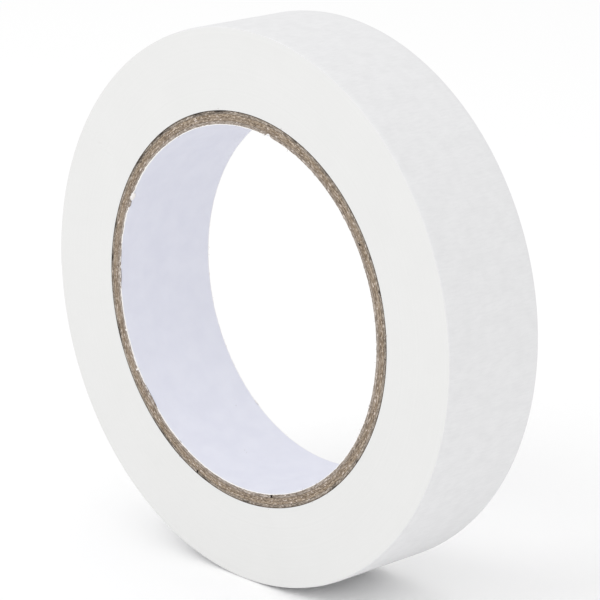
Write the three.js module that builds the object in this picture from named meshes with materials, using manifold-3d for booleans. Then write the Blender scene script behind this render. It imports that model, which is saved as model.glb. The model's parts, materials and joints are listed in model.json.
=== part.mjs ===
// A roll of masking tape, standing on its tread. A spiral-wound paperboard core carries a
// long strip of crepe-paper tape, and the tape's free end peels off the outside of the roll.
// Millimetres, +Z up. The roll's axis runs along Y and its front face looks along -Y. The
// origin lies on the surface that the roll stands on, below the roll's centre.
import * as THREE from "three";
import { mergeVertices } from "three/addons/utils/BufferGeometryUtils.js";
import Module from "manifold-3d";

const wasm = await Module();
wasm.setup();

// Roll and tape
const ROLL_RADIUS = 58; // at the tape's free end, the roll's highest lap
const ROLL_WIDTH = 25;
const TAPE_THICKNESS = 0.13;
const ADHESIVE_FILM = 0.02; // gap between the free end and the lap below it
const PEEL_ROOT_FACET = 15; // counted from the top of the roll towards -X
const PEEL_FACETS = 9;

// Core, from the bore outwards
const BORE_RADIUS = 38.1;
const LINER_THICKNESS = 0.15;
const BOARD_PLY_THICKNESS = 0.65;
const BOARD_PLY_COUNT = 4;
const OUTER_PLY_THICKNESS = 0.15;
const GLUE_LINE = 0.03;

// Each ply is a strip wound along a helix, and its two edges meet in a butt seam
const SEAM_GAP = 0.4;
const PLY_LEAD = 138; // distance along the axis in one turn of the strip
// The places of the seams, at the middle of the roll, from the top of the roll towards +X
const LINER_SEAM = THREE.MathUtils.degToRad(80);
const FIRST_BOARD_SEAM = THREE.MathUtils.degToRad(200);
const SEAM_STAGGER = THREE.MathUtils.degToRad(-109); // from one ply to the next

// The round faces are made of flat facets, one of them level at the bottom of the roll
const FACETS = 96;
const FACET_ANGLE = (2 * Math.PI) / FACETS;
const FIRST_CORNER = FACET_ANGLE / 2;
const SEAM_STEPS = 12;
const CUT_MARGIN = 1; // how far a seam cutter stands out of the ply that it cuts

const PEEL_ROOT = FIRST_CORNER + PEEL_ROOT_FACET * FACET_ANGLE;
const PEEL_END = PEEL_ROOT + PEEL_FACETS * FACET_ANGLE;
const LOWEST_CORNER = FACET_ANGLE / 2 - Math.PI;

// The tape climbs by its own thickness in a turn, up to its free end. Angles of the tape run
// from the top of the roll towards -X, the way it is wound, and go on below zero for the laps
// before the last.
function lapRadius(angle) {
  return ROLL_RADIUS - (TAPE_THICKNESS * (PEEL_END - angle)) / (2 * Math.PI);
}

const AXIS_HEIGHT = lapRadius(LOWEST_CORNER) * Math.cos(FACET_ANGLE / 2);

function tapePoint(radius, angle) {
  return new THREE.Vector2(-radius * Math.sin(angle), radius * Math.cos(angle));
}

// Removes everything but position, so that faces share their corners
function closedGeometry(geometry) {
  geometry.deleteAttribute("normal");
  geometry.deleteAttribute("uv");
  return mergeVertices(geometry);
}

function solidFromGeometry(geometry) {
  const closed = closedGeometry(geometry);
  return new wasm.Manifold(
    new wasm.Mesh({
      numProp: 3,
      vertProperties: new Float32Array(closed.attributes.position.array),
      triVerts: new Uint32Array(closed.index.array),
    }),
  );
}

function geometryFromSolid(solid) {
  const { vertProperties, triVerts } = solid.getMesh();
  const geometry = new THREE.BufferGeometry();
  geometry.setAttribute("position", new THREE.BufferAttribute(vertProperties, 3));
  geometry.setIndex(new THREE.BufferAttribute(triVerts, 1));
  return geometry;
}

// A plain ring around the roll's axis, as wide as the roll
function ringGeometry(innerRadius, outerRadius) {
  const side = ROLL_WIDTH / 2;
  const profile = [
    new THREE.Vector2(innerRadius, side),
    new THREE.Vector2(innerRadius, -side),
    new THREE.Vector2(outerRadius, -side),
    new THREE.Vector2(outerRadius, side),
    new THREE.Vector2(innerRadius, side),
  ];
  return new THREE.LatheGeometry(profile, FACETS, FIRST_CORNER);
}

// A thin blade twisted along the strip's helix, as tall as the ply and a little more
function seamCutter(innerRadius, outerRadius, seamAngle) {
  const low = innerRadius - CUT_MARGIN;
  const high = outerRadius + CUT_MARGIN;
  const length = ROLL_WIDTH + 2 * CUT_MARGIN;
  const blade = new THREE.BoxGeometry(SEAM_GAP, length, high - low, 1, SEAM_STEPS, 1);
  blade.translate(0, 0, (low + high) / 2);
  const corners = blade.attributes.position;
  const corner = new THREE.Vector3();
  const axis = new THREE.Vector3(0, 1, 0);
  for (let i = 0; i < corners.count; i += 1) {
    corner.fromBufferAttribute(corners, i);
    corner.applyAxisAngle(axis, seamAngle + (2 * Math.PI * corner.y) / PLY_LEAD);
    corners.setXYZ(i, corner.x, corner.y, corner.z);
  }
  return blade;
}

function plyGeometry(innerRadius, outerRadius, seamAngle) {
  const ring = solidFromGeometry(ringGeometry(innerRadius, outerRadius));
  const cutter = solidFromGeometry(seamCutter(innerRadius, outerRadius, seamAngle));
  return geometryFromSolid(ring.subtract(cutter));
}

// An outline in the XZ plane, as thick as the roll is wide and centred on Y = 0
function acrossRoll(outline) {
  const geometry = new THREE.ExtrudeGeometry(outline, { depth: ROLL_WIDTH, bevelEnabled: false });
  geometry.translate(0, 0, -ROLL_WIDTH / 2);
  geometry.rotateX(Math.PI / 2);
  return closedGeometry(geometry);
}

// All the laps of tape, less the free end: the outside is one turn of the spiral back from
// the root of the free end, with a step there
function packGeometry(innerRadius) {
  const outside = [];
  const inside = [];
  for (let i = 0; i <= FACETS; i += 1) {
    const angle = PEEL_ROOT - i * FACET_ANGLE;
    outside.push(tapePoint(lapRadius(angle), angle));
    inside.push(tapePoint(innerRadius, angle));
  }
  const outline = new THREE.Shape(outside);
  outline.holes.push(new THREE.Path(inside.slice(1).reverse()));
  return acrossRoll(outline);
}

// The last stretch of tape, stuck down on the lap below it
function freeEndGeometry() {
  const clearance = ADHESIVE_FILM / ROLL_RADIUS;
  const angles = [PEEL_ROOT + clearance];
  for (let i = 1; i <= PEEL_FACETS; i += 1) {
    angles.push(PEEL_ROOT + i * FACET_ANGLE);
  }
  const top = angles.map((angle) => tapePoint(lapRadius(angle), angle));
  const bottom = angles.map((angle) =>
    tapePoint(lapRadius(angle) - TAPE_THICKNESS + ADHESIVE_FILM, angle),
  );
  return acrossRoll(new THREE.Shape([...top, ...bottom.reverse()]));
}

const roll = new THREE.Group();
roll.position.z = AXIS_HEIGHT;

function addPiece(name, geometry, color) {
  const material = new THREE.MeshStandardMaterial({ color, roughness: 0.9, metalness: 0 });
  const mesh = new THREE.Mesh(geometry, material);
  mesh.name = name;
  roll.add(mesh);
}

let nextRadius = BORE_RADIUS;

// Each ply is wound on the one before it
function addPly(name, thickness, seamAngle, color) {
  addPiece(name, plyGeometry(nextRadius, nextRadius + thickness, seamAngle), color);
  nextRadius += thickness + GLUE_LINE;
}

let boardSeam = FIRST_BOARD_SEAM;
addPly("core_liner", LINER_THICKNESS, LINER_SEAM, 0xdfe1ec);
for (let i = 1; i <= BOARD_PLY_COUNT; i += 1) {
  addPly(`core_board_ply_${i}`, BOARD_PLY_THICKNESS, boardSeam, 0xa4927d);
  boardSeam += SEAM_STAGGER;
}
addPly("core_outer_ply", OUTER_PLY_THICKNESS, boardSeam, 0x7d6f60);

addPiece("tape_pack", packGeometry(nextRadius), 0xeeeeea);
addPiece("tape_end", freeEndGeometry(), 0xeeeeea);

export default roll;
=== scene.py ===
# A roll of white masking tape, standing on its tread. The sections follow the roll as it is
# made: the core is wound and glued from board and paper, the tape is wound on it, a knife
# slits both to width, and the tape's free end is pressed down last.
import json
import math

import bpy
import numpy as np
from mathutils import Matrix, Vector, noise


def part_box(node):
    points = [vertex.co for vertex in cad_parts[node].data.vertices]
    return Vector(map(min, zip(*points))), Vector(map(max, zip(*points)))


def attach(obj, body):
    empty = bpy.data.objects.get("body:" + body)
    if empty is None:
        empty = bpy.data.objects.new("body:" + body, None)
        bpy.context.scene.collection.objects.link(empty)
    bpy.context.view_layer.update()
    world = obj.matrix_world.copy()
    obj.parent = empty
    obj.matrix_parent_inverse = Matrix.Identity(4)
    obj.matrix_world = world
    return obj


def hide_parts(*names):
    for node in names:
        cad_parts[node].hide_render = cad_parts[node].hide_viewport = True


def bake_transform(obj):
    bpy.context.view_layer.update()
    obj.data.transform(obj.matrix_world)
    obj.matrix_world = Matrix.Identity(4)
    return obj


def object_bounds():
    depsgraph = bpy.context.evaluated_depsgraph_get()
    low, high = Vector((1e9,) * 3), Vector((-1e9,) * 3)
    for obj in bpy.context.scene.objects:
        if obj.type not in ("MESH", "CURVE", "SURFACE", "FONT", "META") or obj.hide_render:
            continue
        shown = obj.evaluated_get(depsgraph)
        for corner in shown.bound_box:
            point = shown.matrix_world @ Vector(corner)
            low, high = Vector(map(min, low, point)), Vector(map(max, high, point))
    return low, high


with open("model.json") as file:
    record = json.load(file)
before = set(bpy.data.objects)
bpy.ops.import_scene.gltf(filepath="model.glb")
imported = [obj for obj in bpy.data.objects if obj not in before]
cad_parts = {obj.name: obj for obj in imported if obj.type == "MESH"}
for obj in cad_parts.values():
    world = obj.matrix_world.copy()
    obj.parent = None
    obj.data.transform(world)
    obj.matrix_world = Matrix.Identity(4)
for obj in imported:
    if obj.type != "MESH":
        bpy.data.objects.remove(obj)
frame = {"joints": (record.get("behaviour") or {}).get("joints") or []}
cad_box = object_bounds()

# --- The core's board plies ---------------------------------------------------------------------
# Greyboard, pressed from waste paper in strips 0.65 mm thick. Each strip is wound on a mandrel
# along a helix and glued to the one below, with its edges butted. A round knife cuts the core
# to width and tears its ends a little, so that the plies and their fibres show there.

MM = 0.001
CAD_FLATS = 96  # a round face of the frame is this many flats, and its box touches their middles
BOARD_PLIES = [f"core_board_ply_{number}" for number in (1, 2, 3, 4)]
FIRST_BOARD_SEAM = math.radians(200)  # from the top of the roll towards +X, at its middle
SEAM_STAGGER = math.radians(-109)
SEAM_GAP = 0.4 * MM
PLY_LEAD = 138 * MM
BOARD_TEAR = 0.11 * MM  # how far the knife shifts the board's fibres
TEAR_REACH = 0.7 * MM  # how far from the cut end they are shifted
TEAR_GRAIN = 0.9 * MM  # how far apart two shifts are that have little to do with each other

core_low, core_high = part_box(BOARD_PLIES[0])
axis_height = (core_low.z + core_high.z) / 2
roll_width = core_high.y - core_low.y


def outer_radius(node):
    """The radius of a round node, which is a little more than half its box."""
    low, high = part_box(node)
    return (high.x - low.x) / 2 / math.cos(math.pi / CAD_FLATS)


def srgb(code):
    """The linear RGBA of an sRGB hex colour."""
    channels = [int(code[i : i + 2], 16) / 255 for i in (1, 3, 5)]
    return [c / 12.92 if c <= 0.04045 else ((c + 0.055) / 1.055) ** 2.4 for c in channels] + [1]


def used_socket(sockets, name=None):
    """The first socket that is in use, or the first with that name."""
    return next(s for s in sockets if s.enabled and name in (None, s.name))


def add_node(tree, kind, inputs=None, **settings):
    """Adds a node with its settings. Each input, by name or number, is a value or what to link."""
    node = tree.nodes.new(kind)
    for name, value in settings.items():
        setattr(node, name, value)
    for key, value in (inputs or {}).items():
        socket = node.inputs[key] if isinstance(key, int) else used_socket(node.inputs, key)
        source = used_socket(value.outputs) if isinstance(value, bpy.types.Node) else value
        if isinstance(source, bpy.types.NodeSocket):
            tree.links.new(source, socket)
        else:
            socket.default_value = source
    return node


def new_tree(name, inputs):
    """A geometry tree with one named input for each (name, kind), and its input sockets."""
    tree = bpy.data.node_groups.new(name, "GeometryNodeTree")
    for label, kind in inputs.items():
        tree.interface.new_socket(label, in_out="INPUT", socket_type=f"NodeSocket{kind}")
    tree.interface.new_socket("Result", in_out="OUTPUT", socket_type="NodeSocketGeometry")
    return tree, add_node(tree, "NodeGroupInput").outputs


def made_by(tree, name, values, source=None):
    """Runs a geometry tree on a copy of a mesh, or on nothing, and keeps the result as a mesh."""
    start = source.data.copy() if source else bpy.data.meshes.new(name)
    piece = bpy.data.objects.new(name, start)
    bpy.context.scene.collection.objects.link(piece)
    modifier = piece.modifiers.new(tree.name, "NODES")
    modifier.node_group = tree
    for item in tree.interface.items_tree:
        if item.item_type == "SOCKET" and item.in_out == "INPUT" and item.name in values:
            modifier[item.identifier] = values[item.name]
    depsgraph = bpy.context.evaluated_depsgraph_get()
    result = bpy.data.meshes.new_from_object(
        piece.evaluated_get(depsgraph), preserve_all_data_layers=True, depsgraph=depsgraph
    )
    piece.modifiers.clear()
    piece.data = result
    result.name = name
    return piece


def smooth_but_edges(piece, edge_angle=math.radians(40)):
    """Shades a piece smooth, and leaves its sharp edges sharp."""
    piece.data.shade_smooth()
    piece.data.set_sharp_from_angle(angle=edge_angle)


def helical_ply_tree():
    """A strip wound once round the roll's axis, cut square to it, with its edges butted."""
    sizes = (
        "Inner Radius", "Thickness", "Width", "Axis Height", "Seam Angle", "Seam Gap", "Lead",
        "Tear", "Tear Reach", "Tear Scale", "Seed",
    )
    counts = ("Around", "Across", "Through")
    kinds = dict.fromkeys(sizes, "Float") | dict.fromkeys(counts, "Int") | {"Material": "Material"}
    tree, given = new_tree("helical_ply", kinds)
    block = add_node(
        tree, "GeometryNodeMeshCube",
        {"Size": (1, 1, 1), "Vertices X": given["Around"], "Vertices Y": given["Across"],
         "Vertices Z": given["Through"]},
    )
    spot = add_node(tree, "ShaderNodeSeparateXYZ", {0: add_node(tree, "GeometryNodeInputPosition")})

    # The block's Y goes across the roll, in smaller steps towards the cut ends
    half_width = add_node(tree, "ShaderNodeMath", {0: given["Width"], 1: 0.5}, operation="MULTIPLY")
    phase = add_node(tree, "ShaderNodeMath", {0: spot.outputs["Y"], 1: math.pi}, operation="MULTIPLY")
    eased = add_node(tree, "ShaderNodeMath", {0: phase}, operation="SINE")
    across = add_node(tree, "ShaderNodeMath", {0: eased, 1: half_width}, operation="MULTIPLY")

    # Its X goes round the roll, and twists along the helix
    gap = add_node(
        tree, "ShaderNodeMath", {0: given["Seam Gap"], 1: given["Inner Radius"]}, operation="DIVIDE"
    )
    turn = add_node(tree, "ShaderNodeMath", {0: math.tau, 1: gap}, operation="SUBTRACT")
    along = add_node(
        tree, "ShaderNodeMapRange",
        {"Value": spot.outputs["X"], "From Min": -0.5, "From Max": 0.5, "To Min": gap, "To Max": turn},
    )
    pitch = add_node(tree, "ShaderNodeMath", {0: math.tau, 1: given["Lead"]}, operation="DIVIDE")
    twist = add_node(
        tree, "ShaderNodeMath", {0: across, 1: pitch, 2: given["Seam Angle"]}, operation="MULTIPLY_ADD"
    )
    angle = add_node(tree, "ShaderNodeMath", {0: along, 1: twist}, operation="ADD")

    # Its Z goes through the ply
    depth = add_node(tree, "ShaderNodeMath", {0: spot.outputs["Z"], 1: 0.5}, operation="ADD")
    radius = add_node(
        tree, "ShaderNodeMath", {0: depth, 1: given["Thickness"], 2: given["Inner Radius"]},
        operation="MULTIPLY_ADD",
    )
    upright = add_node(tree, "ShaderNodeCombineXYZ", {"Y": across, "Z": radius})
    turned = add_node(
        tree, "ShaderNodeVectorRotate", {"Vector": upright, "Angle": angle}, rotation_type="Y_AXIS"
    )
    axis = add_node(tree, "ShaderNodeCombineXYZ", {"Z": given["Axis Height"]})
    place = add_node(tree, "ShaderNodeVectorMath", {0: turned, 1: axis}, operation="ADD")

    # The knife tears the fibres near each cut end
    off_middle = add_node(tree, "ShaderNodeMath", {0: across}, operation="ABSOLUTE")
    from_cut = add_node(tree, "ShaderNodeMath", {0: half_width, 1: off_middle}, operation="SUBTRACT")
    torn = add_node(
        tree, "ShaderNodeMapRange",
        {"Value": from_cut, "From Min": given["Tear Reach"], "From Max": 0.0,
         "To Max": given["Tear"]},
    )
    grain = add_node(
        tree, "ShaderNodeTexNoise",
        {"Vector": place, "W": given["Seed"], "Scale": given["Tear Scale"], "Detail": 3.0},
        noise_dimensions="4D",
    )
    shift = add_node(
        tree, "ShaderNodeVectorMath", {0: grain.outputs["Color"], 1: (0.5, 0.5, 0.5)},
        operation="SUBTRACT",
    )
    shift = add_node(tree, "ShaderNodeVectorMath", {0: shift, "Scale": torn}, operation="SCALE")
    shift = add_node(tree, "ShaderNodeVectorMath", {0: shift, "Scale": 2.0}, operation="SCALE")

    # The strip's own map is in metres: round the roll, and across it and then through the ply
    unrolled = add_node(
        tree, "ShaderNodeMath", {0: angle, 1: given["Inner Radius"]}, operation="MULTIPLY"
    )
    inset = add_node(
        tree, "ShaderNodeMath", {0: depth, 1: given["Thickness"], 2: across}, operation="MULTIPLY_ADD"
    )
    strip_map = add_node(tree, "ShaderNodeCombineXYZ", {"X": unrolled, "Y": inset})
    mapped = add_node(
        tree, "GeometryNodeStoreNamedAttribute",
        {"Geometry": block, "Name": "strip", "Value": strip_map},
        data_type="FLOAT2", domain="CORNER",
    )
    for name, value in (("depth", depth), ("from_cut", from_cut)):
        mapped = add_node(
            tree, "GeometryNodeStoreNamedAttribute",
            {"Geometry": mapped, "Name": name, "Value": value}, data_type="FLOAT", domain="POINT",
        )
    wound = add_node(
        tree, "GeometryNodeSetPosition", {"Geometry": mapped, "Position": place, "Offset": shift}
    )
    realized = add_node(tree, "GeometryNodeRealizeInstances", {"Geometry": wound})
    finished = add_node(
        tree, "GeometryNodeSetMaterial", {"Geometry": realized, "Material": given["Material"]}
    )
    add_node(tree, "NodeGroupOutput", {"Result": finished})
    return tree


def new_material(name, roughness):
    """A material, its tree and its shader."""
    material = bpy.data.materials.new(name)
    material.use_nodes = True
    shader = material.node_tree.nodes["Principled BSDF"]
    shader.inputs["Roughness"].default_value = roughness
    return material, material.node_tree, shader


def strip_in_mm(tree, shift=0.0):
    """The place on a wound strip, along it and across it, in millimetres, moved by a shift."""
    strip = add_node(tree, "ShaderNodeUVMap", uv_map="strip")
    return add_node(
        tree, "ShaderNodeMapping",
        {"Vector": strip, "Location": (shift, shift, 0), "Scale": (1 / MM,) * 3},
    )


def paint_round(piece, name, places):
    """Stores an attribute that is 1 at each place round the front of a piece, and mirrored round
    its back, and fades away from it. A place is its angle from the top towards -X and its half
    spread, both in degrees."""
    points = np.array([v.co for v in piece.data.vertices])
    angle = np.degrees(np.arctan2(-points[:, 0], points[:, 2] - axis_height))
    value = np.zeros(len(points))
    for place, spread in places:
        away = (angle * np.where(points[:, 1] < 0, 1, -1) - place + 180) % 360 - 180
        value = np.maximum(value, np.exp(-((away / spread) ** 2)))
    piece.data.attributes.new(name, "FLOAT", "POINT").data.foreach_set("value", value)


def greyboard(name, body, light, dark, seed, stain_depth):
    """Pressed waste-paper board, matt and absorbent, and rough where the knife tore it. Its cut end
    shows short fibres, pale flecks of white paper and dark flecks of print, the layers that the board
    was pressed from as streaks along the ply, and dark patches at listed places towards its outer
    side.
    Glue stains it dark from stain_depth outwards, as a share of the ply's thickness."""
    material, tree, shader = new_material(name, roughness=0.92)
    in_mm = strip_in_mm(tree, seed)

    # Sizes along the ply and across it. A real fibre is 0.03 mm wide, which is too fine to show.
    fibre_mm, fleck_mm, blot_mm, streak_mm = (0.8, 0.2), (0.9, 0.3), 2.5, (4.5, 0.15)
    patterns = {}
    for label, size in (("fibres", fibre_mm), ("flecks", fleck_mm), ("streaks", streak_mm)):
        scaled = add_node(
            tree, "ShaderNodeMapping", {"Vector": in_mm, "Scale": (1 / size[0], 1 / size[1], 1)}
        )
        patterns[label] = add_node(
            tree, "ShaderNodeTexNoise",
            {"Vector": scaled, "Scale": 1.0, "Detail": 3.0, "Distortion": 0.3},
        )
    patterns["blots"] = add_node(
        tree, "ShaderNodeTexNoise", {"Vector": in_mm, "Scale": 1 / blot_mm, "Detail": 2.0}
    )

    # Each tint comes in where its pattern's value goes from low to high
    color = srgb(body)
    for label, low, high, tint, strength in (
        ("streaks", 0.45, 0.65, dark, 0.8),
        ("fibres", 0.50, 0.32, dark, 0.9),
        ("fibres", 0.50, 0.66, light, 0.9),
        ("blots", 0.50, 0.68, light, 0.35),
        ("flecks", 0.60, 0.66, "#eaddd4", 0.8),
        ("flecks", 0.38, 0.32, "#54453a", 0.75),
    ):
        share = add_node(
            tree, "ShaderNodeMapRange",
            {"Value": patterns[label], "From Min": low, "From Max": high, "To Max": strength},
        )
        color = add_node(
            tree, "ShaderNodeMix", {"Factor": share, "A": color, "B": srgb(tint)}, data_type="RGBA"
        )

    # The glue lines between the plies are darker, and the dark patches at the listed places darker
    # still. Depths are shares of the ply's thickness.
    glue_depth, stain_fade, dark_patch_depth = 0.12, 0.08, 0.6
    depth = add_node(tree, "ShaderNodeAttribute", attribute_name="depth")
    from_line = add_node(
        tree, "ShaderNodeMath", {0: depth.outputs["Fac"], 1: 0.5}, operation="SUBTRACT"
    )
    from_line = add_node(tree, "ShaderNodeMath", {0: from_line}, operation="ABSOLUTE")
    glued = add_node(
        tree, "ShaderNodeMapRange",
        {"Value": from_line, "From Min": 0.5 - glue_depth, "From Max": 0.5, "To Max": 0.8},
    )
    color = add_node(
        tree, "ShaderNodeMix", {"Factor": glued, "A": color, "B": srgb(dark)}, data_type="RGBA"
    )
    stained = add_node(
        tree, "ShaderNodeMapRange",
        {"Value": depth.outputs["Fac"], "From Min": stain_depth,
         "From Max": stain_depth + stain_fade, "To Max": 0.75},
    )
    color = add_node(
        tree, "ShaderNodeMix", {"Factor": stained, "A": color, "B": srgb("#4a4036")}, data_type="RGBA"
    )
    # Darker in patches at the listed places, towards the outer side of the last board.
    dark_patch = add_node(tree, "ShaderNodeAttribute", attribute_name="dark_patch")
    outer_part = add_node(
        tree, "ShaderNodeMapRange", {"Value": depth.outputs["Fac"], "From Max": dark_patch_depth}
    )
    darkened = add_node(
        tree, "ShaderNodeMath", {0: dark_patch.outputs["Fac"], 1: outer_part}, operation="MULTIPLY"
    )
    patchy = add_node(
        tree, "ShaderNodeMapRange",
        {"Value": patterns["streaks"], "From Min": 0.40, "From Max": 0.48},
    )
    darkened = add_node(tree, "ShaderNodeMath", {0: darkened, 1: patchy}, operation="MULTIPLY")
    color = add_node(
        tree, "ShaderNodeMix", {"Factor": darkened, "A": color, "B": srgb("#271e18")},
        data_type="RGBA",
    )
    tree.links.new(used_socket(color.outputs), shader.inputs["Base Color"])
    bump = add_node(
        tree, "ShaderNodeBump",
        {"Height": patterns["fibres"], "Strength": 0.7, "Distance": 0.08 * MM},
    )
    tree.links.new(bump.outputs[0], shader.inputs["Normal"])
    return material


ply_tree = helical_ply_tree()
ply_sizes = {
    "Width": roll_width, "Axis Height": axis_height, "Seam Gap": SEAM_GAP, "Lead": PLY_LEAD,
    "Tear": BOARD_TEAR, "Tear Reach": TEAR_REACH, "Tear Scale": 1 / TEAR_GRAIN,
    "Around": 960, "Across": 30, "Through": 6,
}
board_tones = [  # of each ply: its body, its pale fibres and its dark ones
    ("#9d9185", "#c3b8ae", "#685c51"),
    ("#90806e", "#b9a998", "#635445"),
    ("#978570", "#c4b5a4", "#665645"),
    ("#8d8275", "#bfb3a6", "#5c5044"),
]
stain_depths = (0.95, 0.95, 0.95, 0.78)  # the dark outer ply's glue soaks into the last board
inner_radius = outer_radius("core_liner")
boards = []
for index, node in enumerate(BOARD_PLIES):
    ply = made_by(
        ply_tree, node.replace("core_", ""),
        ply_sizes | {
            "Inner Radius": inner_radius, "Thickness": outer_radius(node) - inner_radius,
            "Seam Angle": FIRST_BOARD_SEAM + index * SEAM_STAGGER, "Seed": float(index),
            "Material": greyboard(
                f"greyboard_cut_{index + 1}", *board_tones[index], index, stain_depths[index]
            ),
        },
    )
    inner_radius = outer_radius(node)
    boards.append(ply)


def press_edge(piece, end, places, whole=False):
    """Presses the bore's edge in or out at one end (-1 front, 1 back). Each place has its angle
    from the top towards -X, its half spread, both in degrees, and how far it is pressed into
    the bore, in millimetres. The ply's outer side stays, unless its whole thickness moves."""
    points = np.array([v.co for v in piece.data.vertices])
    depth = np.array([item.value for item in piece.data.attributes["depth"].data])
    angle = np.degrees(np.arctan2(-points[:, 0], points[:, 2] - axis_height))
    radius = np.hypot(points[:, 0], points[:, 2] - axis_height)
    near_end = np.clip((end * points[:, 1] - roll_width / 2 + TEAR_REACH) / TEAR_REACH, 0, 1)
    pushed = np.zeros(len(points))
    for place, spread, reach in places:
        away = (angle - place + 180) % 360 - 180
        pushed += reach * MM * np.exp(-((away / spread) ** 2))
    inwards = 1 - pushed * near_end**2 * (1 if whole else 1 - depth) / radius
    points[:, 0] *= inwards
    points[:, 2] = axis_height + (points[:, 2] - axis_height) * inwards
    piece.data.vertices.foreach_set("co", points.ravel())


FRONT_BURRS = ((65.5, 1.2, 0.5), (84, 4, 0.25), (91, 3, 0.4), (131, 5, 0.35), (149, 1.5, 0.25))
FRONT_DENTS = (
    (51, 10, -0.27), (62.5, 1.7, -0.35), (70.5, 3.5, -0.22), (78, 2, -0.12), (106, 6, -0.13),
    (118.5, 3, -0.22), (142, 3.5, -0.12), (164, 12, -0.07), (348.5, 0.8, -0.6),
)
BACK_BURRS = ((209, 3, 0.4), (228, 3, 0.5), (262, 5, 0.3), (301, 4, 0.45), (333, 1.2, 0.35))
# Places round the roll, angle and half spread in degrees, where the core's outer edge is painted
# darker in patches.
DARK_PATCH_PLACES = (
    (10, 3.5), (19, 3), (37, 6), (50, 5), (75, 1.5), (85, 2), (108, 3), (143, 6), (162, 3),
    (181, 1.5), (187, 1.2), (220, 2), (234, 0.8), (287, 0.6), (296.5, 0.6), (324, 1.5), (338, 1),
)
press_edge(boards[0], -1, FRONT_BURRS + FRONT_DENTS)
press_edge(boards[0], 1, BACK_BURRS)
paint_round(boards[-1], "dark_patch", DARK_PATCH_PLACES)
for ply, node in zip(boards, BOARD_PLIES):
    smooth_but_edges(ply)
    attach(ply, "roll")
    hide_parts(node)

# --- The fibres torn loose on the core's cut ends -----------------------------------------------
# Where the knife leaves the board, short paper fibres stand out of the cut. They are drawn
# thicker than the real 0.03 mm, which is too fine to show.

FIBRE_LENGTH = 0.6 * MM
FIBRE_RADIUS = 0.022 * MM
FIBRES_PER_SQUARE_MM = 2.2


def torn_fibres_tree():
    """Short bent fibres on the faces of a mesh that look along the roll's axis."""
    tree, given = new_tree(
        "torn_fibres",
        {"Board": "Geometry", "Length": "Float", "Radius": "Float", "Density": "Float",
         "Seed": "Int", "Material": "Material"},
    )

    def between(low, high, offset):
        seed = add_node(tree, "ShaderNodeMath", {0: given["Seed"], 1: offset}, operation="ADD")
        return add_node(
            tree, "FunctionNodeRandomValue", {"Min": low, "Max": high, "Seed": seed},
            data_type="FLOAT",
        )

    # The cut is torn, so its faces look only roughly along the axis
    facing = add_node(tree, "ShaderNodeSeparateXYZ", {0: add_node(tree, "GeometryNodeInputNormal")})
    sideways = add_node(tree, "ShaderNodeMath", {0: facing.outputs["Y"]}, operation="ABSOLUTE")
    on_cut = add_node(tree, "FunctionNodeCompare", {"A": sideways, "B": 0.6}, operation="GREATER_THAN")
    roots = add_node(
        tree, "GeometryNodeDistributePointsOnFaces",
        {"Mesh": given["Board"], "Selection": on_cut, "Density": given["Density"],
         "Seed": given["Seed"]},
    )
    half_length = add_node(tree, "ShaderNodeMath", {0: given["Length"], 1: 0.5}, operation="MULTIPLY")
    bend = add_node(tree, "ShaderNodeCombineXYZ", {"X": half_length, "Z": half_length})
    tip = add_node(tree, "ShaderNodeCombineXYZ", {"Z": given["Length"]})
    spine = add_node(
        tree, "GeometryNodeCurveQuadraticBezier",
        {"Resolution": 4, "Start": (0, 0, 0), "Middle": bend, "End": tip},
    )
    section = add_node(
        tree, "GeometryNodeCurvePrimitiveCircle", {"Resolution": 3, "Radius": given["Radius"]}
    )
    fibre = add_node(
        tree, "GeometryNodeCurveToMesh", {"Curve": spine, "Profile Curve": section, "Fill Caps": True}
    )

    # A fibre lies any way round on the cut, and its end stands out of it
    outwards = add_node(tree, "ShaderNodeSeparateXYZ", {0: roots.outputs["Normal"]})
    lift = add_node(
        tree, "ShaderNodeMath", {0: between(-0.7, -0.02, 1), 1: outwards.outputs["Y"]},
        operation="MULTIPLY",
    )
    lie = add_node(tree, "ShaderNodeCombineXYZ", {"X": lift, "Y": between(0.0, math.tau, 2)})
    turn = add_node(tree, "FunctionNodeEulerToRotation", {0: lie})
    spin = add_node(tree, "ShaderNodeCombineXYZ", {"Z": between(0.0, math.tau, 3)})
    spin = add_node(tree, "FunctionNodeEulerToRotation", {0: spin})
    turn = add_node(
        tree, "FunctionNodeRotateRotation", {"Rotation": turn, "Rotate By": spin},
        rotation_space="LOCAL",
    )
    strewn = add_node(
        tree, "GeometryNodeInstanceOnPoints",
        {"Points": roots.outputs["Points"], "Instance": fibre, "Rotation": turn,
         "Scale": between(0.3, 1.0, 4)},
    )
    toned = add_node(
        tree, "GeometryNodeStoreNamedAttribute",
        {"Geometry": strewn, "Name": "tone", "Value": between(0.0, 1.0, 5)},
        data_type="FLOAT", domain="INSTANCE",
    )
    realized = add_node(tree, "GeometryNodeRealizeInstances", {"Geometry": toned})
    finished = add_node(
        tree, "GeometryNodeSetMaterial", {"Geometry": realized, "Material": given["Material"]}
    )
    add_node(tree, "NodeGroupOutput", {"Result": finished})
    return tree


def paper_fibre():
    """Loose paper fibres, matt. Most are the board's brown and some are from white paper."""
    material, tree, shader = new_material("loose_paper_fibre", roughness=0.95)
    tone = add_node(tree, "ShaderNodeAttribute", attribute_name="tone")
    paleness = add_node(
        tree, "ShaderNodeMapRange", {"Value": tone.outputs["Fac"], "From Min": 0.3, "From Max": 1.0}
    )
    color = add_node(
        tree, "ShaderNodeMix", {"Factor": paleness, "A": srgb("#8a7866"), "B": srgb("#e0d5cc")},
        data_type="RGBA",
    )
    tree.links.new(used_socket(color.outputs), shader.inputs["Base Color"])
    return material


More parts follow.
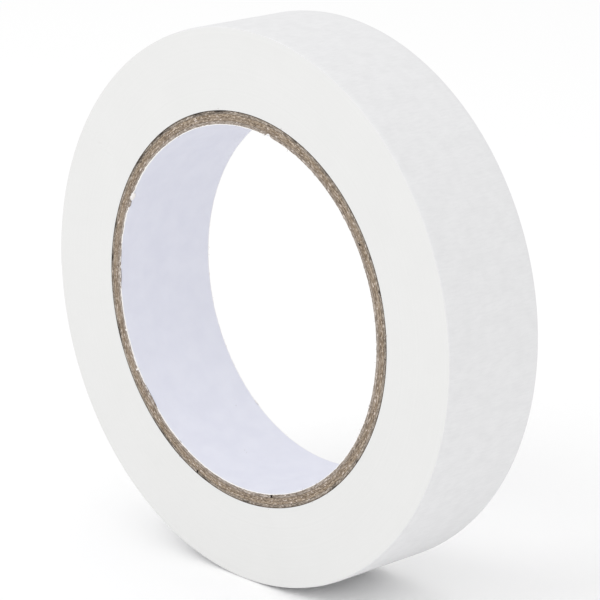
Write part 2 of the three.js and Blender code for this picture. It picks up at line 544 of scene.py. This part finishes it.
fibre_tree = torn_fibres_tree()
fibre_material = paper_fibre()
for index, ply in enumerate(boards):
    fibres = made_by(
        fibre_tree, f"loose_fibres_{index + 1}",
        {"Length": FIBRE_LENGTH, "Radius": FIBRE_RADIUS, "Density": FIBRES_PER_SQUARE_MM / MM**2,
         "Seed": index, "Material": fibre_material},
        source=ply,
    )
    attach(fibres, "roll")

# --- The liner of the bore ----------------------------------------------------------------------
# Smooth bleached paper, the first strip on the mandrel, with a cold, faintly violet white.
# The knife frays its edge, which shows as a thin white line round the bore, painted whiter partly for
# the torn paper and partly as a painted highlight where the edge catches light.

LINER_SEAM = math.radians(80)
LINER_THICKNESS = 0.15 * MM
LINER_TEAR = 0.12 * MM


def liner_paper():
    """Machine-finished paper, smooth to the touch and matt, with faint clouds where its fibres lie
    closer. Its torn edge is painted a purer white than its face, partly for the torn paper and partly
    as a painted highlight where the edge catches light."""
    material, tree, shader = new_material("bleached_liner_paper", roughness=0.8)
    in_mm = strip_in_mm(tree)
    cloud_mm, wave_mm = 5.0, 1.4
    torn_mm, clean_mm = 0.1, 0.22  # the edge is all torn to the first, and clean past the second
    clouds = add_node(
        tree, "ShaderNodeTexNoise", {"Vector": in_mm, "Scale": 1 / cloud_mm, "Detail": 3.0}
    )
    cloudy = add_node(
        tree, "ShaderNodeMapRange", {"Value": clouds, "From Min": 0.35, "From Max": 0.65}
    )
    face = add_node(
        tree, "ShaderNodeMix", {"Factor": cloudy, "A": srgb("#dedfe9"), "B": srgb("#e2e3ec")},
        data_type="RGBA",
    )
    from_cut = add_node(tree, "ShaderNodeAttribute", attribute_name="from_cut")
    # Torn paper and painted highlight: the band next to the cut end is painted a purer white.
    torn_and_highlit_edge = add_node(
        tree, "ShaderNodeMapRange",
        {"Value": from_cut.outputs["Fac"], "From Min": clean_mm * MM, "From Max": torn_mm * MM},
    )
    color = add_node(
        tree, "ShaderNodeMix", {"Factor": torn_and_highlit_edge, "A": face, "B": srgb("#f4f2f0")},
        data_type="RGBA",
    )
    tree.links.new(used_socket(color.outputs), shader.inputs["Base Color"])
    waves = add_node(
        tree, "ShaderNodeTexNoise", {"Vector": in_mm, "Scale": 1 / wave_mm, "Detail": 4.0}
    )
    bump = add_node(
        tree, "ShaderNodeBump", {"Height": waves, "Strength": 0.25, "Distance": 0.05 * MM}
    )
    tree.links.new(bump.outputs[0], shader.inputs["Normal"])
    return material


liner = made_by(
    ply_tree, "bore_liner",
    ply_sizes | {
        "Tear": LINER_TEAR, "Across": 42, "Through": 3,
        "Inner Radius": outer_radius("core_liner") - LINER_THICKNESS,
        "Thickness": LINER_THICKNESS, "Seam Angle": LINER_SEAM, "Seed": 7.0,
        "Material": liner_paper(),
    },
)
press_edge(liner, -1, FRONT_DENTS, whole=True)
smooth_but_edges(liner)
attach(liner, "roll")
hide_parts("core_liner")

# --- The flakes torn from the liner -------------------------------------------------------------
# Where the knife caught the liner, it folded small white flakes of it over the board's end.
# They are thin crumpled paper, and each still hangs on the liner by its root in the bore.

FRONT_FLAKES = (
    (62.2, 1.9, 0.5, 0.45), (108, 0.5, 0.1, 0.35), (121, 0.4, 0.15, 0.9), (252, 0.5, 0.1, 0.5),
    (327, 0.4, 0.1, 0.45), (350, 0.35, 0.1, 0.5),
)
BACK_FLAKES = (
    (12, 0.6, 0.2, 0.7), (97, 0.4, 0.2, 0.5), (143, 1.4, 0.4, 0.9), (266, 0.5, 0.2, 0.6),
    (318, 0.8, 0.3, 0.5),
)
FLAKE_THICKNESS = 0.07 * MM
FLAKE_LIFT = 0.05 * MM
FLAKE_COLUMNS, FLAKE_ROWS = 15, 7


def wander(point, size, seed):
    """Smooth noise from -1 to 1 at a point, with waves of that size."""
    return noise.noise(point / size + Vector((seed, 0, 0)))


def sheet_faces(rows, columns, first=0):
    """The faces of a thin closed sheet: its top, its underside, then its four edges. All points
    of the top come first, row by row, and then those of the underside."""
    top = first + np.arange(rows * columns).reshape(rows, columns)
    under = top + top.size
    walls = [
        (top[:-1, :-1], top[1:, :-1], top[1:, 1:], top[:-1, 1:]),
        (under[:-1, :-1], under[:-1, 1:], under[1:, 1:], under[1:, :-1]),
        (top[:-1, 0], under[:-1, 0], under[1:, 0], top[1:, 0]),
        (top[1:, -1], under[1:, -1], under[:-1, -1], top[:-1, -1]),
        (top[0, 1:], under[0, 1:], under[0, :-1], top[0, :-1]),
        (top[-1, :-1], under[-1, :-1], under[-1, 1:], top[-1, 1:]),
    ]
    return [np.stack([corner.ravel() for corner in wall], axis=-1) for wall in walls]


def flake_mesh():
    """All flakes in one mesh. Each has its angle from the top towards -X in degrees, and in
    millimetres its width, how deep in the bore it starts and how far it reaches over the board."""
    bore = outer_radius("core_liner") - LINER_THICKNESS
    points, faces = [], []
    for end, flakes in ((-1, FRONT_FLAKES), (1, BACK_FLAKES)):
        for place, width, inside, reach in flakes:
            loops = np.concatenate(sheet_faces(FLAKE_ROWS, FLAKE_COLUMNS, len(points)))
            faces += (loops if end < 0 else loops[:, ::-1]).tolist()
            for drop in (0, FLAKE_THICKNESS):
                for out in np.linspace(-inside, reach, FLAKE_ROWS):
                    for share in np.linspace(-0.5, 0.5, FLAKE_COLUMNS):
                        # It is shorter towards its sides, with a ragged rim, and crumpled at its tip
                        spot = Vector((share * width, out, place))
                        along = out * (1 - 1.6 * share**2) * (0.85 + 0.4 * wander(spot, 0.3, 2))
                        crumple = 1 + 2.5 * abs(out) / reach + 1.5 * wander(spot, 0.4, 9)
                        lift = FLAKE_LIFT * crumple + FLAKE_THICKNESS - drop
                        radius = bore + (along * MM if along > 0 else -lift)
                        past_end = lift if along > 0 else along * MM
                        ragged = share * (0.9 + 0.25 * wander(spot, 0.25, 4))
                        angle = math.radians(place) + ragged * width * MM / bore
                        points.append((
                            -radius * math.sin(angle), end * (roll_width / 2 + past_end),
                            axis_height + radius * math.cos(angle),
                        ))
    mesh = bpy.data.meshes.new("torn_liner_flakes")
    mesh.from_pydata(points, [], faces)
    return mesh


def torn_paper():
    """The liner's paper where it is torn, matt and pure white."""
    material, tree, shader = new_material("torn_white_paper", roughness=0.95)
    patch_mm = 0.4
    place = add_node(tree, "ShaderNodeTexCoord")
    ragged = add_node(
        tree, "ShaderNodeTexNoise",
        {"Vector": place.outputs["Object"], "Scale": 1 / (patch_mm * MM)},
    )
    color = add_node(
        tree, "ShaderNodeMix", {"Factor": ragged, "A": srgb("#e9e4e0"), "B": srgb("#f6f4f2")},
        data_type="RGBA",
    )
    tree.links.new(used_socket(color.outputs), shader.inputs["Base Color"])
    return material


flakes = bpy.data.objects.new("torn_liner_flakes", flake_mesh())
bpy.context.scene.collection.objects.link(flakes)
flakes.data.materials.append(torn_paper())
flakes.data.shade_smooth()
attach(flakes, "roll")

# --- The outer ply of the core ------------------------------------------------------------------
# Thin dark kraft paper, which the first lap of tape sticks to. It is cut a little deeper than
# the board, so it shows as a dark line between the core and the tape.

OUTER_PLY_SET_BACK = 0.08 * MM


def dark_kraft():
    """Unbleached kraft paper, matt dark brown, and blackened in patches at the listed places."""
    material, tree, shader = new_material("dark_kraft_paper", roughness=0.9)
    in_mm = strip_in_mm(tree)
    fibre_mm = 0.4
    # Darker in patches at the same listed places.
    dark_patch = add_node(tree, "ShaderNodeAttribute", attribute_name="dark_patch")
    fibres = add_node(
        tree, "ShaderNodeTexNoise", {"Vector": in_mm, "Scale": 1 / fibre_mm, "Detail": 3.0}
    )
    paper = add_node(
        tree, "ShaderNodeMix", {"Factor": fibres, "A": srgb("#54483c"), "B": srgb("#7c6f63")},
        data_type="RGBA",
    )
    color = add_node(
        tree, "ShaderNodeMix",
        {"Factor": dark_patch.outputs["Fac"], "A": paper, "B": srgb("#2e241d")}, data_type="RGBA",
    )
    tree.links.new(used_socket(color.outputs), shader.inputs["Base Color"])
    return material


outer_ply = made_by(
    ply_tree, "outer_ply",
    ply_sizes | {
        "Width": roll_width - 2 * OUTER_PLY_SET_BACK, "Through": 3,
        "Inner Radius": outer_radius(BOARD_PLIES[-1]),
        "Thickness": outer_radius("core_outer_ply") - outer_radius(BOARD_PLIES[-1]),
        "Seam Angle": FIRST_BOARD_SEAM + len(BOARD_PLIES) * SEAM_STAGGER, "Seed": 8.0,
        "Material": dark_kraft(),
    },
)
paint_round(outer_ply, "dark_patch", DARK_PATCH_PLACES)
smooth_but_edges(outer_ply)
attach(outer_ply, "roll")
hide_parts("core_outer_ply")

# --- The wound tape -----------------------------------------------------------------------------
# Creped white paper, 0.13 mm thick with its adhesive, in some 129 laps. The laps' slit edges make
# the flat sides, which are soft and even, and the last lap's creped face makes the tread.

TAPE_THICKNESS = 0.13 * MM
SHOULDER_WIDTH, SHOULDER_DROP = 1.1 * MM, 0.17 * MM  # the outer laps sink towards each side
CORNER = 0.06 * MM  # their slit edge is rounded by this
BURR_DEPTH, BURR_REACH = 0.06 * MM, 0.1 * MM  # the first lap's slit edge reaches over the core
SECTIONS = 640  # round the roll
SIDE_ROWS, TREAD_COLUMNS, CORNER_STEPS = 34, 40, 12  # of each section
LAP_WANDER = 0.015 * MM  # how far the laps' edges wander from the flat side
LAP_DRIFT = 20 * MM  # the larger, the sooner a lap's edge wanders along the lap
LAP_CONTRAST = 9  # the larger, the more one lap's edge differs from the next one's
LAP_PATCH, SIDE_PATCH = 4 * MM, 14 * MM  # how far one lap, and the whole side, wander one way
TREAD_WAVE = 0.02 * MM  # how far the tread's wrinkles stand out
BROAD_WRINKLE, FINE_WRINKLE = 5 * MM, 1.8 * MM  # and their sizes
STEP_SHARE = 1e-5  # of a turn, in which the tread steps down at the root of the free end

hinge = Vector(frame["joints"][0]["pos_m"])
root_angle = math.atan2(-hinge.x, hinge.z - axis_height)
end_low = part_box("tape_end")[0]
roll_radius = -cad_box[0].x / math.cos(math.pi / CAD_FLATS)
end_angle = math.acos((end_low.z - axis_height) / roll_radius)
tape_inner_radius = outer_radius("core_outer_ply")


def lap_radius(angle):
    """The tape climbs by its own thickness in a turn, up to its free end."""
    return roll_radius - TAPE_THICKNESS * (end_angle - angle) / math.tau


def shoulder_drop(across):
    """How far the tread has sunk at this place across it, near its rounded corners."""
    from_side = roll_width / 2 - abs(across)
    sunk = SHOULDER_DROP * max(0.0, 1 - from_side / SHOULDER_WIDTH) ** 2
    into = max(0.0, 1 - from_side / CORNER)
    return sunk + CORNER * (1 - math.sqrt(1 - into**2))


def half_section():
    """Half of the tape's cross-section, from the inner wall to the middle of the tread: how far
    out each point is (0 to 1), how far it drops from there, and how far across it is."""
    side = roll_width / 2
    into = [math.sin(a) for a in np.linspace(0, math.pi / 2, CORNER_STEPS)]
    depth = roll_radius - tape_inner_radius
    stop = 1 - (SHOULDER_DROP + CORNER) / depth
    at_core = [(0, BURR_REACH * share**2, side - BURR_DEPTH * (1 - share)) for share in into]
    at_tread = [side - SHOULDER_WIDTH * (1 - share) for share in reversed(into)]
    at_tread += list(np.linspace(side - SHOULDER_WIDTH, 0, TREAD_COLUMNS // 2 + 1)[1:])
    return (
        at_core
        + [(share, 0, side) for share in np.linspace(0, stop, SIDE_ROWS)[1:-1]]
        + [(1, shoulder_drop(across), across) for across in at_tread]
    )


def tape_mesh():
    """The wound tape as a closed ring of sections. The last section steps back up to the first,
    where the free end leaves the roll."""
    half = half_section()
    section = half + [(share, drop, -across) for share, drop, across in half[-2::-1]]
    count = len(section)
    points, along = [], []
    for i in range(SECTIONS):
        angle = root_angle - math.tau * min(i / (SECTIONS - 1), 1 - STEP_SHARE)
        radius = lap_radius(angle)
        along.append((root_angle - angle) * roll_radius)
        for share, drop, across in section:
            out = tape_inner_radius + share * (radius - tape_inner_radius) - drop
            spot = Vector((-out * math.sin(angle), across, out * math.cos(angle)))
            if share == 1:
                # The tread has broad wrinkles with finer ones on them, up to its rounded corners
                wave = wander(spot, BROAD_WRINKLE, 3) + 0.6 * wander(spot, FINE_WRINKLE, 5)
                spot *= 1 + TREAD_WAVE * wave * (abs(across) < roll_width / 2 - CORNER) / out
            else:
                # Each lap's edge wanders on its own, and the whole side is faintly uneven
                lap = Vector((
                    out * LAP_CONTRAST, across + LAP_DRIFT * math.cos(angle),
                    LAP_DRIFT * math.sin(angle),
                ))
                spot.y += math.copysign(LAP_WANDER, across) * (
                    wander(lap, LAP_PATCH, 11) + 0.7 * wander(spot, SIDE_PATCH, 13)
                )
            points.append((spot.x, spot.y, spot.z + axis_height))
    rows = np.arange(SECTIONS * count).reshape(SECTIONS, count)
    right = np.roll(rows, -1, axis=1)
    faces = np.stack([rows, right, np.roll(right, -1, axis=0), np.roll(rows, -1, axis=0)], axis=-1)
    mesh = bpy.data.meshes.new("wound_tape")
    mesh.from_pydata(points, [], faces.reshape(-1, 4).tolist())
    shares = np.array([share for share, _, _ in section])
    on_tread = (shares == 1) & (np.roll(shares, -1) == 1)
    mesh.polygons.foreach_set("material_index", np.tile(1 - on_tread, SECTIONS).astype(np.int32))
    tape_map = mesh.uv_layers.new(name="strip")
    across = np.array([place for _, _, place in section])
    u = np.append(along, along[-1] + roll_radius * STEP_SHARE)
    corner_u = np.stack([u[:-1], u[:-1], u[1:], u[1:]], axis=-1)
    corner_v = np.stack([across, np.roll(across, -1), np.roll(across, -1), across], axis=-1)
    corners = np.empty((SECTIONS, count, 4, 2))
    corners[..., 0] = corner_u[:, None, :]
    corners[..., 1] = corner_v[None, :, :]
    tape_map.data.foreach_set("uv", corners.ravel())
    return mesh


def creped_paper():
    """White crepe paper with a release coat, faintly satin. Creping leaves short ridges across the
    strip, two or three to a millimetre, which are drawn at two so that they show. The paper is painted
    a little greyer between them, as painted shade in their valleys, and it is cloudy where the
    adhesive lies thicker."""
    material, tree, shader = new_material("creped_white_paper", roughness=0.68)
    in_mm = strip_in_mm(tree)
    ridge_mm, blotch_mm = (0.5, 2.8), 3.0
    ridge_map = add_node(
        tree, "ShaderNodeMapping", {"Vector": in_mm, "Scale": (1 / ridge_mm[0], 1 / ridge_mm[1], 1)}
    )
    ridges = add_node(
        tree, "ShaderNodeTexNoise",
        {"Vector": ridge_map, "Scale": 1.0, "Detail": 3.0, "Roughness": 0.6, "Distortion": 0.5},
    )
    # Painted shade: the valleys between the crepe ridges are painted greyer, as if shaded.
    painted_valley_shade = add_node(
        tree, "ShaderNodeMapRange",
        {"Value": ridges, "From Min": 0.56, "From Max": 0.36, "To Max": 0.22},
    )
    blotches = add_node(
        tree, "ShaderNodeTexNoise", {"Vector": in_mm, "Scale": 1 / blotch_mm, "Detail": 3.0}
    )
    blotchy = add_node(
        tree, "ShaderNodeMapRange", {"Value": blotches, "From Min": 0.35, "From Max": 0.7}
    )
    color = add_node(
        tree, "ShaderNodeMix", {"Factor": blotchy, "A": srgb("#e5e5e6"), "B": srgb("#e1e1e2")},
        data_type="RGBA",
    )
    # The painted shade of the valleys goes over the paper's colour.
    color = add_node(
        tree, "ShaderNodeMix", {"Factor": painted_valley_shade, "A": color, "B": srgb("#d6d6d8")},
        data_type="RGBA",
    )
    tree.links.new(used_socket(color.outputs), shader.inputs["Base Color"])
    bump = add_node(
        tree, "ShaderNodeBump", {"Height": ridges, "Strength": 0.5, "Distance": 0.07 * MM}
    )
    tree.links.new(bump.outputs[0], shader.inputs["Normal"])
    return material


def slit_edges():
    """The slit edges of the laps, pressed together: a warm, close white. The laps show as faint
    rings, drawn a few laps wide, because one is too fine to show."""
    material, tree, shader = new_material("slit_tape_edges", roughness=0.66)
    place = add_node(tree, "ShaderNodeTexCoord")
    centred = add_node(
        tree, "ShaderNodeMapping",
        {"Vector": place.outputs["Object"], "Location": (0, 0, -axis_height)},
    )
    flat = add_node(tree, "ShaderNodeVectorMath", {0: centred, 1: (1, 0, 1)}, operation="MULTIPLY")
    radius = add_node(tree, "ShaderNodeVectorMath", {0: flat}, operation="LENGTH")
    ring_mm, cloud_mm = 0.5, 9.0
    rings = add_node(
        tree, "ShaderNodeTexNoise",
        {"W": radius.outputs["Value"], "Scale": 1 / (ring_mm * MM), "Detail": 3.0},
        noise_dimensions="1D",
    )
    clouds = add_node(
        tree, "ShaderNodeTexNoise", {"Vector": centred, "Scale": 1 / (cloud_mm * MM), "Detail": 4.0}
    )
    tones = add_node(tree, "ShaderNodeMath", {0: clouds, 1: rings}, operation="ADD")
    toned = add_node(tree, "ShaderNodeMapRange", {"Value": tones, "From Min": 0.7, "From Max": 1.3})
    color = add_node(
        tree, "ShaderNodeMix", {"Factor": toned, "A": srgb("#dfdfde"), "B": srgb("#e1e1e0")},
        data_type="RGBA",
    )
    tree.links.new(used_socket(color.outputs), shader.inputs["Base Color"])
    bump = add_node(
        tree, "ShaderNodeBump", {"Height": rings, "Strength": 0.12, "Distance": 0.03 * MM}
    )
    tree.links.new(bump.outputs[0], shader.inputs["Normal"])
    return material


creped_face = creped_paper()
slit_face = slit_edges()
tape = bpy.data.objects.new("wound_tape", tape_mesh())
bpy.context.scene.collection.objects.link(tape)
tape.data.materials.append(creped_face)
tape.data.materials.append(slit_face)
smooth_but_edges(tape)
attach(tape, "roll")
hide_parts("tape_pack")

# --- The tape's free end ------------------------------------------------------------------------
# The last 34 mm of the same strip, cut straight, with the adhesive on its underside. It is stuck down
# but for one corner.

LOOSE_CORNER = 1.1 * MM  # how high the corner towards the roll's back is raised
LOOSE_LENGTH = 9 * MM  # how far from the cut the strip is loose
LOOSE_SPREAD = 0.1  # how far past its middle it is loose, as a share of half its width
END_STEPS = 72
END_COLUMNS = 48
EDGE_INSET = 0.08 * MM  # the last lap is this much narrower at each side than those below it
CUT_WANDER = 0.12 * MM  # how far the cut strays from a straight line


def free_end_mesh():
    """The free end as a thin closed strip, with its top and its bottom as two grids of points."""
    half = roll_width / 2 - EDGE_INSET
    strip_columns = half * np.sin(np.linspace(math.pi / 2, -math.pi / 2, END_COLUMNS))
    grids = [[], []]
    for step in np.linspace(0, 1, END_STEPS):
        for across in strip_columns:
            cut = CUT_WANDER * wander(Vector((across, 0, 0)), 2 * MM, 21) * step**8
            angle = root_angle + step * (end_angle - root_angle) + cut / roll_radius
            to_end = (1 - step) * (end_angle - root_angle) * roll_radius
            loose = max(0.0, 1 - to_end / LOOSE_LENGTH) * max(0.0, across / half + LOOSE_SPREAD)
            lift = LOOSE_CORNER * loose**2
            for grid, drop in zip(grids, (0, TAPE_THICKNESS)):
                out = lap_radius(angle) - shoulder_drop(across) + lift - drop
                grid.append((-out * math.sin(angle), across, axis_height + out * math.cos(angle)))
    faces = sheet_faces(END_STEPS, END_COLUMNS)
    mesh = bpy.data.meshes.new("free_end")
    mesh.from_pydata(grids[0] + grids[1], [], np.concatenate(faces).tolist())
    slots = np.concatenate([np.full(len(f), slot) for f, slot in zip(faces, (0, 2, 1, 1, 1, 1))])
    mesh.polygons.foreach_set("material_index", slots.astype(np.int32))
    tape_map = mesh.uv_layers.new(name="strip")
    step = np.repeat(np.linspace(0, (root_angle - end_angle) * roll_radius, END_STEPS), END_COLUMNS)
    across = np.tile(strip_columns, END_STEPS)
    uv = np.tile(np.stack([step, across], axis=-1), (2, 1))
    corners = np.concatenate(faces).ravel()
    tape_map.data.foreach_set("uv", uv[corners].ravel())
    return mesh


def adhesive():
    """Rubber adhesive on the tape's underside: cream, smooth and a little glossy."""
    material, tree, shader = new_material("rubber_adhesive", roughness=0.38)
    in_mm = strip_in_mm(tree)
    streak_mm = 2.0
    streaks = add_node(
        tree, "ShaderNodeTexNoise", {"Vector": in_mm, "Scale": 1 / streak_mm, "Detail": 3.0}
    )
    color = add_node(
        tree, "ShaderNodeMix", {"Factor": streaks, "A": srgb("#ebe7da"), "B": srgb("#e4dfcf")},
        data_type="RGBA",
    )
    tree.links.new(used_socket(color.outputs), shader.inputs["Base Color"])
    bump = add_node(
        tree, "ShaderNodeBump", {"Height": streaks, "Strength": 0.2, "Distance": 0.05 * MM}
    )
    tree.links.new(bump.outputs[0], shader.inputs["Normal"])
    return material


free_end = bpy.data.objects.new("free_end", free_end_mesh())
bpy.context.scene.collection.objects.link(free_end)
for material in (creped_face, slit_face, adhesive()):
    free_end.data.materials.append(material)
smooth_but_edges(free_end)
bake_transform(free_end)
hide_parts("tape_end")

# --- The studio ---------------------------------------------------------------------------------
# A pale floor under an even white sky, with a broad soft light in front of the roll and above
# it, and a weaker one to its right. The camera stands to the right and looks a little down.

FLOOR_HALF = 30.0
CAMERA_AZIMUTH = math.radians(46.35)
CAMERA_ELEVATION = math.radians(16.07)
CAMERA_DISTANCE = 637.1 * MM
CAMERA_LENS_MM = 186.3
AIM_RIGHT = 2.53 * MM  # the roll stands this much left of the view's middle
AIM_UP = -0.18 * MM

floor_mesh = bpy.data.meshes.new("floor")
floor_mesh.from_pydata(
    [(x * FLOOR_HALF, y * FLOOR_HALF, 0) for x, y in ((-1, -1), (1, -1), (1, 1), (-1, 1))],
    [], [(0, 1, 2, 3)],
)
floor = bpy.data.objects.new("floor", floor_mesh)
bpy.context.scene.collection.objects.link(floor)
floor_material, _, floor_shader = new_material("white_paper_floor", roughness=1.0)
floor_shader.inputs["Base Color"].default_value = srgb("#fbfbfb")
floor_shader.inputs["Specular IOR Level"].default_value = 0.0
floor.data.materials.append(floor_material)

world = bpy.data.worlds.new("studio")
world.use_nodes = True
world.node_tree.nodes["Background"].inputs["Color"].default_value = srgb("#ffffff")
world.node_tree.nodes["Background"].inputs["Strength"].default_value = 0.945
bpy.context.scene.world = world

roll_centre = Vector((0, 0, axis_height))


def soft_light(name, place, size, watts):
    """A square softbox that looks at the middle of the roll."""
    light = bpy.data.lights.new(name, "AREA")
    light.shape, light.size, light.energy = "SQUARE", size, watts
    lamp = bpy.data.objects.new(name, light)
    lamp.location = place
    lamp.rotation_euler = (Vector(place) - roll_centre).to_track_quat("Z", "Y").to_euler()
    bpy.context.scene.collection.objects.link(lamp)


soft_light("key_softbox", (-0.26, -1.02, 1.12), size=0.9, watts=4.3)
soft_light("fill_softbox", (0.9, -0.6, 1.06), size=0.9, watts=0.7)

right = Vector((math.cos(CAMERA_AZIMUTH), math.sin(CAMERA_AZIMUTH), 0))
back = Vector((
    math.sin(CAMERA_AZIMUTH) * math.cos(CAMERA_ELEVATION),
    -math.cos(CAMERA_AZIMUTH) * math.cos(CAMERA_ELEVATION),
    math.sin(CAMERA_ELEVATION),
))
aim = roll_centre + right * AIM_RIGHT + back.cross(right) * AIM_UP
camera_data = bpy.data.cameras.new("camera")
camera_data.lens = CAMERA_LENS_MM
camera_data.sensor_width = 36
camera = bpy.data.objects.new("camera", camera_data)
camera.location = aim + back * CAMERA_DISTANCE
camera.rotation_euler = back.to_track_quat("Z", "Y").to_euler()
bpy.context.scene.collection.objects.link(camera)
bpy.context.scene.camera = camera
bpy.context.scene.view_settings.view_transform = "Standard"
